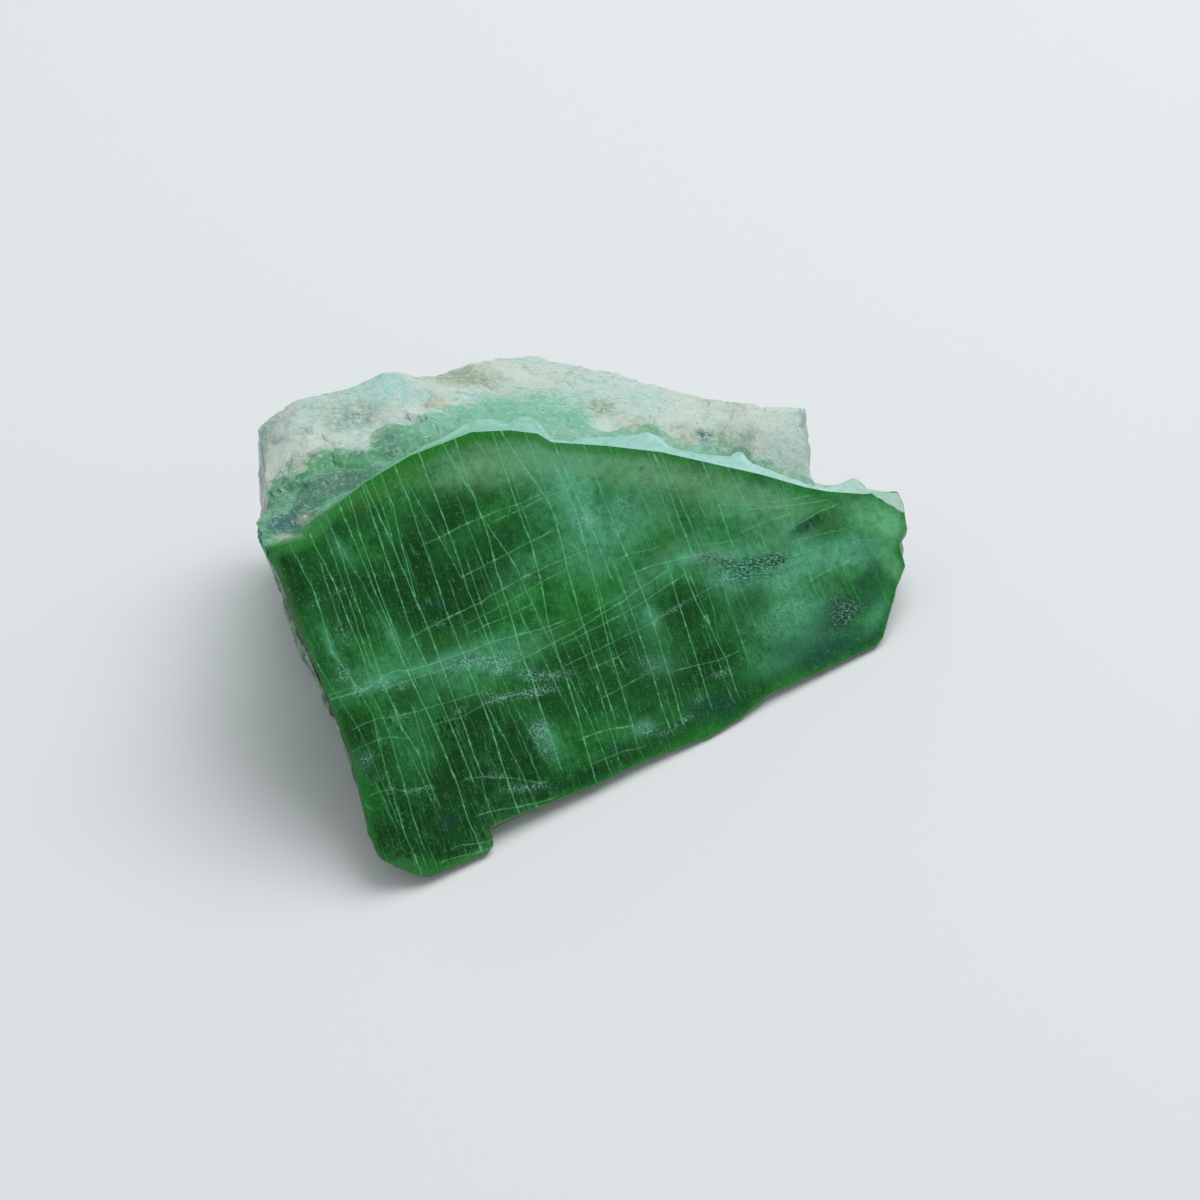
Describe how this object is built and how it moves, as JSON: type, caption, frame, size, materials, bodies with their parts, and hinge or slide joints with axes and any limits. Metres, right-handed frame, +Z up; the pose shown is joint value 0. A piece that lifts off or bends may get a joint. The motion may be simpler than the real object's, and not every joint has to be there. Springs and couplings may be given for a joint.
{
  "type": "raw jade stone",
  "caption": "Raw green jade stone with one flat sawn face, a chipped crest and a weathered rind behind it, resting on a flat base.",
  "frame": {"origin": "on the resting base, below the middle of the stone's bounding box", "axes": "+Z up from the base; the sawn face leans back 45 degrees and looks towards +X and -Y; +Y runs back across the rind"},
  "size_m": [0.0542, 0.0535, 0.0223],
  "materials": {
    "jade": "sawn and lightly polished on the face, rough and weathered elsewhere"
  },
  "bodies": {
    "root": {"jade_stone": "jade"}
  },
  "joints": []
}
